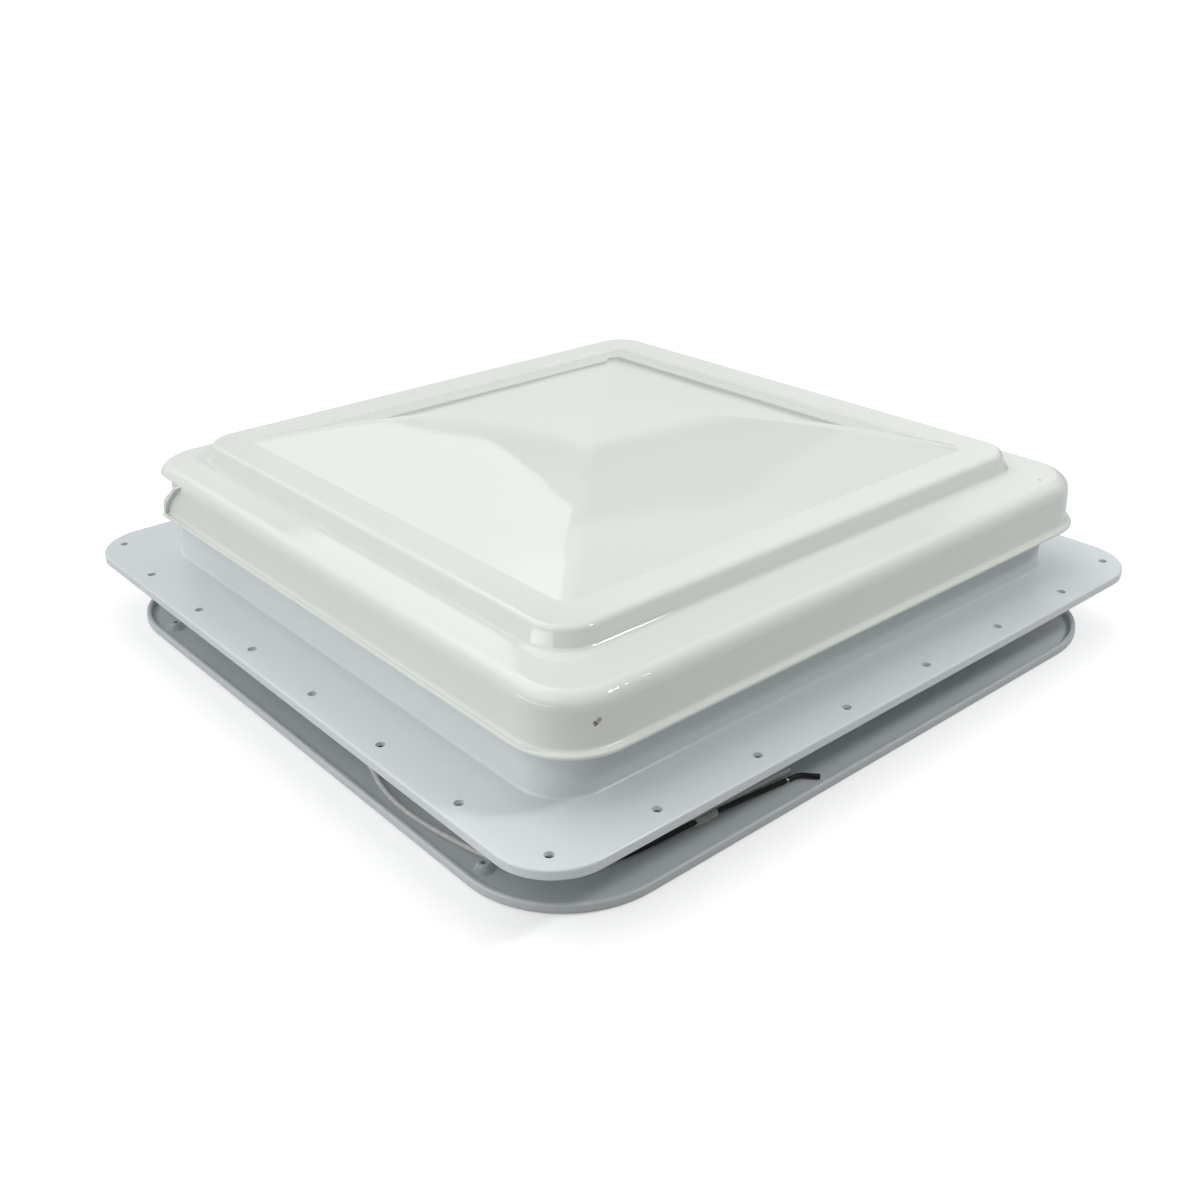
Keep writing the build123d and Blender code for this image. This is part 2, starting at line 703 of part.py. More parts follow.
# Operator bracket on the base's ledge, with a tube for the bush and two cheeks for the pivot
bracket_low = flange_top
bracket_high = bracket_low + bracket_plate
bush_top = worm_low - worm_collar - worm_end_play
tube_top = bush_top - bush_flange_height
bush_outer = shaft_radius + running_gap + bush_wall
foot_left = operator_screws_at[0][0] - bracket_screw_head - seat_gap
foot_right = operator_screws_at[1][0] + bracket_screw_head + seat_gap
with BuildPart() as operator_bracket:
    slab(bracket_low, bracket_high, foot_left, foot_right, collar_inner, neck_inner)
    slab(bracket_low, bracket_high, operator_x - bracket_half_width,
         operator_x + bracket_half_width, worm_y, collar_half)
    disc(bracket_low, bracket_high, bracket_half_width, operator_x, worm_y)
    disc(bracket_low, tube_top, bush_tube_radius, operator_x, worm_y)
    for x in (left_cheek, right_cheek):
        with BuildSketch(Plane.YZ.offset(x)) as cheek:
            with Locations((pivot_y, pivot_z)):
                Circle(pivot_eye_radius)
            with BuildLine():
                Polyline((pivot_y - pivot_eye_radius, pivot_z), (pivot_y, bracket_high),
                         (neck_inner, bracket_high), (neck_inner, pivot_z),
                         (pivot_y - pivot_eye_radius, pivot_z))
            make_face()
        extrude(cheek.sketch, amount=cheek_plate)
    slab(bracket_high, pivot_z, left_cheek, right_cheek + cheek_plate, neck_inner - cheek_plate / 2,
         neck_inner)
    rod(left_cheek - overrun, right_cheek + overrun, pivot_pin_radius + running_gap, pivot_y,
        pivot_z, Mode.SUBTRACT)
    disc(bracket_low - overrun, bush_top, bush_outer, operator_x, worm_y, Mode.SUBTRACT)
    for x, y in operator_screws_at:
        disc(bracket_low - overrun, bracket_high + overrun, bracket_screw_radius, x, y,
             Mode.SUBTRACT)
save(operator_bracket.part, "operator_bracket")
with BuildPart() as shaft_bush:
    disc(bracket_low, bush_top, bush_outer, operator_x, worm_y)
    disc(tube_top, bush_top, bush_flange_radius, operator_x, worm_y)
    disc(bracket_low - overrun, bush_top + overrun, shaft_radius + running_gap, operator_x, worm_y,
         Mode.SUBTRACT)
save(shaft_bush.part, "shaft_bush")
with BuildPart() as arm_pivot_pin:
    pin_start = left_cheek - running_gap
    pin_stop = right_cheek + cheek_plate + pivot_head_length
    rod(pin_start - pivot_head_length, pin_start, pivot_head_radius, pivot_y, pivot_z)
    rod(pin_start, pin_stop, pivot_pin_radius, pivot_y, pivot_z)
save(arm_pivot_pin.part, "arm_pivot_pin")


def screws(name, places, head_low, head_radius, head_height, shank_radius, shank_length):
    """Writes a group of pan head screws that stand on one level, shanks down."""
    with BuildPart() as group:
        for x, y in places:
            disc(head_low, head_low + head_height, head_radius, x, y)
            disc(head_low - shank_length, head_low, shank_radius, x, y)
        heads = group.edges().filter_by_position(Axis.Z, head_low + head_height,
                                                 head_low + head_height)
        fillet(heads, head_height / 2)
    save(group.part, name)


screws("operator_screws", operator_screws_at, bracket_high, bracket_screw_head,
       bracket_screw_height, bracket_screw_radius - running_gap, bracket_plate + base_sheet)

# Crank knob with finger flutes, and its screw from below
with BuildPart() as crank_knob:
    disc(knob_bottom, knob_bottom + knob_height, knob_radius, operator_x, worm_y)
    with BuildSketch(Plane.XY.offset(knob_bottom)) as flutes:
        with Locations((operator_x, worm_y)):
            flute_ring = PolarLocations(knob_radius + flute_radius / 2, knob_flutes)
        with Locations(*[(operator_x + spot.position.X, worm_y + spot.position.Y)
                         for spot in flute_ring.local_locations]):
            Circle(flute_radius)
    extrude(flutes.sketch, amount=knob_height, mode=Mode.SUBTRACT)
    fillet(crank_knob.edges().group_by(Axis.Z)[0], knob_round)
    disc(knob_bottom - overrun, knob_bottom + knob_screw_height, knob_screw_head + seat_gap,
         operator_x, worm_y, Mode.SUBTRACT)
    disc(shaft_foot, knob_bottom + knob_height + overrun, shaft_radius, operator_x, worm_y,
         Mode.SUBTRACT)
save(crank_knob.part, "crank_knob")
with BuildPart() as knob_screw:
    disc(knob_bottom, shaft_foot, knob_screw_head, operator_x, worm_y)
    disc(shaft_foot, shaft_foot + knob_screw_length, knob_screw_radius, operator_x, worm_y)
save(knob_screw.part, "knob_screw")

# Fan, moulded hub and twisted blades on one shaft
blade_middle = (fan_low + fan_high) / 2


def blade_section(radius, chord, angle):
    """Returns one curved blade section that faces outwards at a radius from the shaft."""
    camber = chord * blade_camber_share
    with BuildSketch(across(radius, 0, blade_middle)) as section:
        with BuildLine(Plane.XY.rotated((0, 0, angle))):
            ThreePointArc((-chord / 2, 0), (0, camber), (chord / 2, 0))
            Line((chord / 2, 0), (chord / 2, -blade_thickness))
            ThreePointArc((chord / 2, -blade_thickness), (0, camber - blade_thickness),
                          (-chord / 2, -blade_thickness))
            Line((-chord / 2, -blade_thickness), (-chord / 2, 0))
        make_face()
    return section.sketch


with BuildPart() as blade:
    loft([blade_section(fan_hub_radius - blade_root_sink, blade_root_chord, blade_root_angle),
          blade_section(fan_radius, blade_tip_chord, blade_tip_angle)])
    disc(fan_low - overrun, fan_high + overrun, fan_radius, mode=Mode.INTERSECT)
with BuildPart() as fan_impeller:
    disc(fan_low, fan_high, fan_hub_radius)
    with PolarLocations(0, fan_blades):
        add(blade.part)
    disc(fan_low - overrun, fan_high + overrun, fan_shaft_radius, mode=Mode.SUBTRACT)
save(fan_impeller.part, "fan_impeller")
with BuildPart() as fan_retainer:
    disc(fan_low - retainer_height, fan_low, retainer_radius)
    disc(fan_low - retainer_height - overrun, fan_low + overrun, fan_shaft_radius,
         mode=Mode.SUBTRACT)
save(fan_retainer.part, "fan_retainer")

# Motor on a cranked strap across the opening
nose_low = strap_top - motor_nose_length
bore_top = nose_low + motor_bore_depth
with BuildPart() as fan_shaft:
    disc(fan_low - retainer_height, bore_top - seat_gap, fan_shaft_radius)
save(fan_shaft.part, "fan_shaft")
with BuildPart() as motor_bracket:
    strap_line = [(-strap_foot_outer, flange_top), (-strap_foot_inner, flange_top),
                  (-strap_top_half, strap_level), (strap_top_half, strap_level),
                  (strap_foot_inner, flange_top), (strap_foot_outer, flange_top)]
    with BuildSketch(Plane.XZ) as strap:
        with BuildLine():
            Polyline(*strap_line, *[(x, z + strap_sheet) for x, z in reversed(strap_line)],
                     close=True)
        make_face()
    extrude(strap.sketch, amount=strap_half_width, both=True)
    for edge_y in (-strap_half_width, strap_half_width - strap_sheet):
        slab(strap_level, strap_top + strap_flange, -strap_top_half, strap_top_half, edge_y,
             edge_y + strap_sheet)
    disc(strap_top, strap_top + strap_flange + overrun, motor_radius + 2 * seat_gap,
         mode=Mode.SUBTRACT)
    disc(strap_level - overrun, strap_top + overrun, strap_hole_radius, mode=Mode.SUBTRACT)
    for x, y in ledge_screws:
        disc(flange_top - overrun, strap_level, bracket_screw_radius, x, y, Mode.SUBTRACT)
save(motor_bracket.part, "motor_bracket")
screws("bracket_screws", ledge_screws, flange_top + strap_sheet, bracket_screw_head,
       bracket_screw_height, bracket_screw_radius - running_gap, strap_sheet + base_sheet)
with BuildPart() as motor_can:
    disc(strap_top, strap_top + motor_height, motor_radius)
    fillet(motor_can.edges().group_by(Axis.Z)[-1], motor_round)
    disc(nose_low, strap_top, motor_nose_radius)
    disc(nose_low - overrun, bore_top, fan_shaft_radius + running_gap, mode=Mode.SUBTRACT)
save(motor_can.part, "motor_can")
motor_top = strap_top + motor_height
with BuildPart() as motor_cap:
    disc(motor_top, motor_top + motor_cap_height, motor_cap_radius)
    fillet(motor_cap.edges().group_by(Axis.Z)[-1], motor_cap_height / 4)
save(motor_cap.part, "motor_cap")
with BuildPart() as motor_screws:
    with BuildSketch(Plane.XY.offset(strap_level)) as heads:
        with PolarLocations(motor_screw_ring_radius, motor_screw_places, motor_screw_turn_angle):
            Circle(motor_screw_head)
    extrude(heads.sketch, amount=-motor_screw_height)
    fillet(motor_screws.edges().group_by(Axis.Z)[0], motor_screw_height / 2)
save(motor_screws.part, "motor_screws")

# Insect screen, a moulded frame with two gussets and a net that lies in it
screen_inner = screen_half - screen_rim
screen_top = screen_low + screen_web
net_half = screen_inner + net_border
with BuildPart() as screen_frame:
    square_ring(screen_low, screen_top, screen_half, screen_corner, screen_rim)
    square_ring(screen_low, screen_low + screen_height, screen_half, screen_corner, screen_web)
    with BuildSketch(Plane.XY.offset(screen_low)) as gussets:
        for side in (-1, 1):
            with BuildLine():
                Polyline((side * screen_inner, screen_inner),
                         (side * (screen_inner - gusset_size), screen_inner),
                         (side * screen_inner, screen_inner - gusset_size), close=True)
            make_face()
    extrude(gussets.sketch, amount=screen_web)
    disc(screen_low - overrun, screen_top + overrun, shaft_window_radius, operator_x, worm_y,
         Mode.SUBTRACT)
    slab(screen_low - overrun, screen_top + overrun,
         switch_x - switch_length / 2 - switch_window_gap,
         switch_x + switch_length / 2 + switch_window_gap,
         switch_y - switch_width / 2 - switch_window_gap,
         switch_y + switch_width / 2 + switch_window_gap, Mode.SUBTRACT)
save(screen_frame.part, "screen_frame")
with BuildPart() as insect_screen:
    cell = (2 * net_half - net_bar) / net_cells
    with BuildSketch(Plane.XY.offset(screen_top)) as net:
        RectangleRounded(2 * net_half, 2 * net_half, screen_corner - screen_rim + net_border)
        with GridLocations(cell, cell, net_cells, net_cells):
            Rectangle(cell - net_bar, cell - net_bar, mode=Mode.SUBTRACT)
    extrude(net.sketch, amount=screen_net)
    with BuildSketch(Plane.XY.offset(screen_top - overrun)) as corners:
        for side in (-1, 1):
            with BuildLine():
                Polyline((side * flange_half, flange_half),
                         (side * (2 * screen_inner - gusset_size + screen_web - flange_half),
                          flange_half),
                         (side * flange_half,
                          2 * screen_inner - gusset_size + screen_web - flange_half), close=True)
            make_face()
    extrude(corners.sketch, amount=2 * overrun, mode=Mode.SUBTRACT)
save(insect_screen.part, "insect_screen")
for number, ((x, y), turn) in enumerate(zip(clip_places, clip_turns), 1):
    with BuildPart() as screen_clip:
        with BuildSketch(Plane(origin=(x, y, clip_level), x_dir=Vector(1, 0, 0).rotate(
                Axis.Z, turn), z_dir=(0, 0, 1))) as clip:
            with Locations(((clip_reach - clip_width / 2) / 2, 0)):
                SlotOverall(clip_reach + clip_width / 2, clip_width)
            Circle(clip_screw_radius + running_gap, mode=Mode.SUBTRACT)
        extrude(clip.sketch, amount=clip_sheet)
    save(screen_clip.part, f"screen_clip_{number}")
with BuildPart() as clip_screws:
    for x, y in clip_places:
        disc(clip_level - clip_screw_height, clip_level - running_gap, clip_screw_head, x, y)
        disc(clip_level - running_gap, orifice_low, clip_screw_radius, x, y)
    fillet(clip_screws.edges().group_by(Axis.Z)[0], clip_screw_height / 2)
save(clip_screws.part, "clip_screws")

# Rocker switch on a plate that rests on the ledge
switch_top = flange_top
rocker_z = switch_bottom + rocker_axis_rise
with BuildPart() as switch_bracket:
    slab(flange_top, flange_top + switch_plate, switch_x - switch_plate_half_width,
         switch_x + switch_plate_half_width, switch_y - switch_width / 2 - switch_plate,
         neck_inner)
    for x, y in switch_screws_at:
        disc(flange_top - overrun, flange_top + switch_plate + overrun, bracket_screw_radius, x, y,
             Mode.SUBTRACT)
save(switch_bracket.part, "switch_bracket")
screws("switch_screws", switch_screws_at, flange_top + switch_plate, bracket_screw_head,
       bracket_screw_height, bracket_screw_radius - running_gap, switch_plate + base_sheet)
with BuildPart() as switch_housing:
    slab(switch_bottom, switch_top, switch_x - switch_length / 2,
         switch_x + switch_length / 2, switch_y - switch_width / 2, switch_y + switch_width / 2)
    fillet(switch_housing.edges().filter_by(Axis.Z), switch_window_gap)
    pocket_half = rocker_length / 2 + rocker_pocket_gap
    rod(switch_x - pocket_half, switch_x + pocket_half, rocker_radius + rocker_pocket_gap,
        switch_y, rocker_z, Mode.SUBTRACT)
save(switch_housing.part, "switch_housing")
rocker_tip = sqrt(rocker_radius**2 - rocker_tip_drop**2)
with BuildPart() as switch_rocker:
    with BuildSketch(across(switch_x - rocker_length / 2, switch_y, rocker_z)) as rocker:
        with BuildLine():
            Polyline((rocker_tip, -rocker_tip_drop), (0, -rocker_valley),
                     (-rocker_tip, -rocker_tip_drop))
            ThreePointArc((-rocker_tip, -rocker_tip_drop), (0, rocker_radius),
                          (rocker_tip, -rocker_tip_drop))
        make_face()
    extrude(rocker.sketch, amount=rocker_length)
tilted_rocker = switch_rocker.part.rotate(
    Axis((switch_x, switch_y, rocker_z), (1, 0, 0)), -rocker_tilt_angle)
save(tilted_rocker, "switch_rocker")

# Grommet in the collar, where the two leads come out
grommet_half_width = lead_spacing / 2
grommet_half_height = lead_radius + grommet_lip
with BuildPart() as lead_grommet:
    for start, stop, lip in ((-collar_half - grommet_flange_depth, -collar_half, grommet_flange),
                             (-collar_half, -collar_inner, 0),
                             (-collar_inner, grommet_flange_depth - collar_inner, grommet_flange)):
        with BuildSketch(across(start, lead_exit_y, grommet_height)) as outline:
            Rectangle(2 * (grommet_half_width + lip), 2 * (grommet_half_height + lip))
        extrude(outline.sketch, amount=stop - start)
save(lead_grommet.part, "lead_grommet")


# Leads, laid as they lie in the tray
def tube(points, radius, name):
    """Writes a round lead along straight runs joined by arcs as large as the runs allow."""
    corners = []
    for before, at, after in zip(points, points[1:], points[2:]):
        run_in = Vector(*at) - Vector(*before)
        run_out = Vector(*after) - Vector(*at)
        half_turn = radians(run_in.get_angle(run_out)) / 2
        shorter = min(run_in.length, run_out.length)
        corners.append(lead_arc_share * shorter / tan(half_turn))
    with BuildPart() as lead:
        with BuildLine() as route:
            if corners:
                FilletPolyline(*points, radius=corners)
            else:
                Line(*points)
        path = route.wires()[0]
        with BuildSketch(Plane(origin=path @ 0, z_dir=path % 0)) as section:
            Circle(radius)
        sweep(section.sketch, path=path)
    expected = pi * radius**2 * path.length
    print(name, "length", round(path.length, 1), "radii", [round(r, 1) for r in corners],
          "volume share", round(lead.part.volume / expected, 4))
    save(lead.part, name)
    return path @ 1, path % 1


lead_start = -collar_half - grommet_flange_depth
lead_level = garnish_sheet + seat_gap + lead_radius
sleeve_level = garnish_sheet + seat_gap + sleeve_radius
lead_side = lead_radius + lead_gap / 2
white_y = lead_exit_y + lead_side
black_y = lead_exit_y - lead_side
white_route = [(0, 0, grommet_height), (-13.3, 0.0, grommet_height), (-23.1, -4.25, 25.0),
               (-26.8, -12.25, 13.0), (-28.6, -22.25, 5.6), (-31.0, -34.25, lead_level),
               (-36.1, -48.95, lead_level), (-39.3, -70.15, lead_level),
               (-38.4, -92.95, lead_level), (-35.0, -112.85, lead_level),
               (-32.1, -127.75, lead_level), (-27.3, -140.25, lead_level), (-20.8, -151.75, 5.2),
               (-11.8, -160.75, 7.0), (-0.8, -166.25, 7.8), (11.7, -168.25, 7.2),
               (26.2, -169.75, 5.0), (43.2, -171.95, lead_level), (64.2, -174.35, lead_level),
               (83.2, -176.05, lead_level), (105.2, -176.95, lead_level)]
black_route = [(0, 0, grommet_height), (-11.0, 0.0, grommet_height), (-17.4, -5.25, 25.0),
               (-18.3, -13.75, 13.0), (-19.6, -23.75, 5.4), (-21.1, -35.25, lead_level),
               (-23.3, -53.25, lead_level), (-24.8, -73.25, lead_level),
               (-24.7, -93.25, lead_level), (-23.0, -111.25, lead_level),
               (-20.3, -126.25, lead_level), (-16.3, -139.75, lead_level),
               (-10.3, -152.25, lead_level), (-1.3, -163.25, lead_level),
               (11.2, -169.75, lead_level), (31.2, -172.45, lead_level),
               (52.2, -174.55, sleeve_level), (76.2, -175.75, sleeve_level),
               (97.2, -177.05, lead_level), (116.6, -179.25, lead_level)]
white_points = [(lead_start + x, white_y + y, z) for x, y, z in white_route]
black_points = [(lead_start + x, black_y + y, z) for x, y, z in black_route]
black_stub_end = (132.4, -188.25)
ring_end, ring_along = tube(white_points, lead_radius, "white_lead")
tube([tuple(ring_end), tuple(ring_end + ring_along * stub_length)], lead_radius,
     "white_lead_stub")
copper_start, copper_along = tube(black_points, lead_radius, "black_lead")
copper_stop = copper_start + copper_along * copper_length
tube([tuple(copper_start), tuple(copper_stop)], copper_radius, "black_lead_copper")
tube([tuple(copper_stop), tuple(copper_stop + copper_along * stub_length / 3),
      (lead_start + black_stub_end[0], black_y + black_stub_end[1], lead_level)], lead_radius,
     "black_lead_stub")
sleeve_low = Vector(*black_points[-4])
sleeve_high = Vector(*black_points[-3])
sleeve_along = (sleeve_high - sleeve_low).normalized()
sleeve_start = (sleeve_low + sleeve_high) / 2 - sleeve_along * sleeve_length / 2
with BuildPart() as lead_sleeve:
    with BuildSketch(Plane(origin=sleeve_start, z_dir=sleeve_along)) as sleeve:
        Circle(sleeve_radius)
        Circle(lead_radius + seat_gap / 2, mode=Mode.SUBTRACT)
    extrude(sleeve.sketch, amount=sleeve_length)
save(lead_sleeve.part, "lead_sleeve")
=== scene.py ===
"""Dresses a square caravan roof vent: glossy lid, moulded base, ceiling tray and free leads.

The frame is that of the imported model: +Z is up, +Y is the hinge side and the lid opens at the -Y
side. Lengths are in metres, but the sizes of the leads and of the net are in millimetres, and MM
scales them where a mesh or a curve is made.
"""

from __future__ import annotations

import logging
import math
from dataclasses import dataclass, field
from enum import Enum
from typing import Any, Iterable, Protocol

import bmesh
import bpy
from mathutils import Matrix, Vector

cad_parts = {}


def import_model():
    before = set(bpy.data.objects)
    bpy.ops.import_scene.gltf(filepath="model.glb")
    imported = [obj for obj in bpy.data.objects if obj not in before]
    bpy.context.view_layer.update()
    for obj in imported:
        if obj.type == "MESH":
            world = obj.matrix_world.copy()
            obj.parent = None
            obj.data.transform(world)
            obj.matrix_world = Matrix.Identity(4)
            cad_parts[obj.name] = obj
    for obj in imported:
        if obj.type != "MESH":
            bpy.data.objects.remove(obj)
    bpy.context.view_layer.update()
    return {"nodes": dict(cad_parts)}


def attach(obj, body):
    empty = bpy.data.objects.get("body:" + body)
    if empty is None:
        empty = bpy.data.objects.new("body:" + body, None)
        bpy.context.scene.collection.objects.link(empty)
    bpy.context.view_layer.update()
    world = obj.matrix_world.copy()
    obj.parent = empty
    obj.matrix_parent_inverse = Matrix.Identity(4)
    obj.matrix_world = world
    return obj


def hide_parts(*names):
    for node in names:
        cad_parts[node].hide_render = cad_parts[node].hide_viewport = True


LOG = logging.getLogger("roof_vent")
MM = 0.001
Point = tuple[float, float, float]
Colour = tuple[float, float, float]

MIX_COLOURS = (6, 7)
MIX_COLOUR_RESULT = 2
MIX_NUMBERS = (2, 3)
PLASTIC_IOR = 1.49
SOFT_TUBE_IOR = 1.42
SPECK_STRENGTH = 0.85
SPECK_CORE_SHARE = 0.7
SPECK_NOISE_SCALE = 900.0
MERGE_DISTANCE = 1e-7


class Body(str, Enum):
    """The rigid bodies of the vent that new pieces ride on."""

    BASE = "base"
    GARNISH = "garnish"


class Slot(str, Enum):
    """The names of three material slots of the record; nothing in this script uses them."""

    NET = "screen_net"
    WHITE_LEAD = "white_insulation"
    BLACK_LEAD = "black_insulation"


# Finishes


class NodeGraph:
    """A node tree with short calls that add and join nodes.

    A kind of graph sets place, the coordinates that its patterns read.
    """

    place: bpy.types.NodeSocket

    def __init__(self, tree: bpy.types.NodeTree) -> None:
        """Empties a tree.

        Args:
            tree: The tree to fill.
        """
        self.tree = tree
        tree.nodes.clear()

    def add(self, kind: str, **settings: Any) -> bpy.types.Node:
        """Adds one node.

        Args:
            kind: The node's type name.
            **settings: Properties of the node to set.

        Returns:
            The new node.
        """
        node = self.tree.nodes.new(kind)
        for key, value in settings.items():
            setattr(node, key, value)
        return node

    def join(self, start: bpy.types.NodeSocket, end: bpy.types.NodeSocket) -> None:
        """Joins an output to an input."""
        self.tree.links.new(start, end)

    def noise(self, scale: float, detail: float = 2.0) -> bpy.types.NodeSocket:
        """Adds a noise pattern on the graph's own coordinates.

        Args:
            scale: Cycles of the pattern in one unit of the coordinates.
            detail: Number of finer layers.

        Returns:
            The pattern's output, from 0 to 1.
        """
        node = self.add("ShaderNodeTexNoise")
        node.inputs["Scale"].default_value = scale
        node.inputs["Detail"].default_value = detail
        self.join(self.place, node.inputs["Vector"])
        return node.outputs["Fac"]

    def remap(self, source: bpy.types.NodeSocket, low: float, high: float, start: float = 0.3,
              stop: float = 0.7, ease: str = "LINEAR") -> bpy.types.NodeSocket:
        """Maps a pattern's middle range to new ends.

        Args:
            source: The pattern to map.
            low: The value at the start of the range.
            high: The value at its end.
            start: Where the source's range starts.
            stop: Where it ends.
            ease: The name of the curve between them.

        Returns:
            The mapped value's output.
        """
        node = self.add("ShaderNodeMapRange", interpolation_type=ease)
        node.inputs["From Min"].default_value = start
        node.inputs["From Max"].default_value = stop
        node.inputs["To Min"].default_value = low
        node.inputs["To Max"].default_value = high
        self.join(source, node.inputs["Value"])
        return node.outputs["Result"]

    def maths(self, operation: str, *values: float | bpy.types.NodeSocket) -> bpy.types.NodeSocket:
        """Adds one sum.

        Args:
            operation: The sum's name.
            *values: Its numbers or sockets.

        Returns:
            Its result.
        """
        node = self.add("ShaderNodeMath", operation=operation)
        for socket, value in zip(node.inputs, values):
            if isinstance(value, bpy.types.NodeSocket):
                self.join(value, socket)
            else:
                socket.default_value = value
        return node.outputs[0]


class ShaderGraph(NodeGraph):
    """A material's nodes, about one surface shader, on the piece's own coordinates."""

    def __init__(self, name: str) -> None:
        """Starts a material with a surface shader joined to the output.

        Args:
            name: The material's name.
        """
        self.material = bpy.data.materials.new(name)
        self.material.use_nodes = True
        super().__init__(self.material.node_tree)
        self.output = self.add("ShaderNodeOutputMaterial")
        self.surface = self.add("ShaderNodeBsdfPrincipled")
        self.join(self.surface.outputs["BSDF"], self.output.inputs["Surface"])
        self.place = self.add("ShaderNodeTexCoord").outputs["Object"]

    def blend(self, amount: bpy.types.NodeSocket, first: Colour | bpy.types.NodeSocket,
              second: Colour | bpy.types.NodeSocket) -> bpy.types.NodeSocket:
        """Mixes two colours.

        Args:
            amount: The share of the second colour.
            first: The colour at 0.
            second: The colour at 1.

        Returns:
            The mixed colour's output.
        """
        node = self.add("ShaderNodeMix", data_type="RGBA")
        self.join(amount, node.inputs["Factor"])
        for number, value in zip(MIX_COLOURS, (first, second)):
            if isinstance(value, bpy.types.NodeSocket):
                self.join(value, node.inputs[number])
            else:
                node.inputs[number].default_value = (*value, 1.0)
        return node.outputs[MIX_COLOUR_RESULT]

    def bump(self, height: bpy.types.NodeSocket, strength: float, depth: float) -> None:
        """Adds fine relief to the surface.

        Args:
            height: The relief's pattern.
            strength: How strongly it shows, from 0 to 1.
            depth: Its depth in metres.
        """
        node = self.add("ShaderNodeBump")
        node.inputs["Strength"].default_value = strength
        node.inputs["Distance"].default_value = depth
        self.join(height, node.inputs["Height"])
        self.join(node.outputs["Normal"], self.surface.inputs["Normal"])


class Finish(Protocol):
    """Anything that has a material's name and can build it."""

    @property
    def name(self) -> str:
        """The material's name."""

    def build(self) -> bpy.types.Material:
        """Makes the material."""


@dataclass(frozen=True)
class Speck:
    """One small brown mark on a moulding."""

    centre: Point
    radius: float
    colour: Colour


@dataclass(frozen=True)
class MouldedPlastic:
    """Injection moulded plastic with slight mottling, a fine orange peel and soft gloss."""

    name: str
    colour: Colour
    shade_share: float = 0.97
    roughness: float = 0.3
    roughness_spread: float = 0.06
    mottle_scale: float = 14.0
    peel_scale: float = 260.0
    peel_depth: float = 0.00002
    grain_scale: float = 2600.0
    grain_share: float = 0.25
    specks: tuple[Speck, ...] = ()

    def build(self) -> bpy.types.Material:
        """Makes the material.

        Returns:
            The finished material.
        """
        graph = ShaderGraph(self.name)
        mottle = graph.remap(graph.noise(self.mottle_scale, 4.0), 0.0, 1.0)
        shade = tuple(channel * self.shade_share for channel in self.colour)
        colour = graph.blend(mottle, self.colour, shade)
        for speck in self.specks:
            colour = graph.blend(self._spot(graph, speck), colour, speck.colour)
        graph.join(colour, graph.surface.inputs["Base Color"])
        rough = graph.remap(graph.noise(self.mottle_scale * 6, 3.0),
                            self.roughness - self.roughness_spread / 2,
                            self.roughness + self.roughness_spread / 2)
        graph.join(rough, graph.surface.inputs["Roughness"])
        peel = graph.noise(self.peel_scale, 2.0)
        grain = graph.noise(self.grain_scale, 1.0)
        relief = graph.add("ShaderNodeMix", data_type="FLOAT")
        relief.inputs[0].default_value = self.grain_share
        for number, pattern in zip(MIX_NUMBERS, (peel, grain)):
            graph.join(pattern, relief.inputs[number])
        graph.bump(relief.outputs[0], 1.0, self.peel_depth)
        graph.surface.inputs["IOR"].default_value = PLASTIC_IOR
        return graph.material

    @staticmethod
    def _spot(graph: ShaderGraph, speck: Speck) -> bpy.types.NodeSocket:
        """Draws one ragged spot about a point.

        Args:
            graph: The tree to draw it in.
            speck: The spot's place and size.

        Returns:
            The spot's strength, which falls to 0 at its ragged edge.
        """
        apart = graph.add("ShaderNodeVectorMath", operation="DISTANCE")
        graph.join(graph.place, apart.inputs[0])
        apart.inputs[1].default_value = speck.centre
        core = speck.radius * SPECK_CORE_SHARE
        swing = graph.maths("MULTIPLY_ADD", graph.noise(SPECK_NOISE_SCALE, 3.0), -2 * core, core)
        ragged = graph.maths("ADD", apart.outputs["Value"], swing)
        return graph.remap(ragged, SPECK_STRENGTH, 0.0, core, speck.radius)


@dataclass(frozen=True)
class PlatedMetal:
    """Zinc plate or bare steel, aluminium or copper, with drawn streaks and patches."""

    name: str
    colour: Colour
    tint: Colour
    roughness: float = 0.32
    smooth_share: float = 0.8
    rough_share: float = 1.25
    patch_scale: float = 160.0
    streaks: Point = (40.0, 900.0, 900.0)
    depth: float = 0.00001

    def build(self) -> bpy.types.Material:
        """Makes the material.

        Returns:
            The finished material.
        """
        graph = ShaderGraph(self.name)
        stretch = graph.add("ShaderNodeMapping")
        stretch.inputs["Scale"].default_value = self.streaks
        graph.join(graph.place, stretch.inputs["Vector"])
        lines = graph.add("ShaderNodeTexNoise")
        lines.inputs["Scale"].default_value = 1.0
        graph.join(stretch.outputs["Vector"], lines.inputs["Vector"])
        patches = graph.remap(graph.noise(self.patch_scale, 3.0), 0.0, 1.0)
        graph.join(graph.blend(patches, self.colour, self.tint),
                   graph.surface.inputs["Base Color"])
        graph.surface.inputs["Metallic"].default_value = 1.0
        rough = graph.remap(lines.outputs["Fac"], self.roughness * self.smooth_share,
                            self.roughness * self.rough_share)
        graph.join(rough, graph.surface.inputs["Roughness"])
        graph.bump(lines.outputs["Fac"], 0.6, self.depth)
        return graph.material


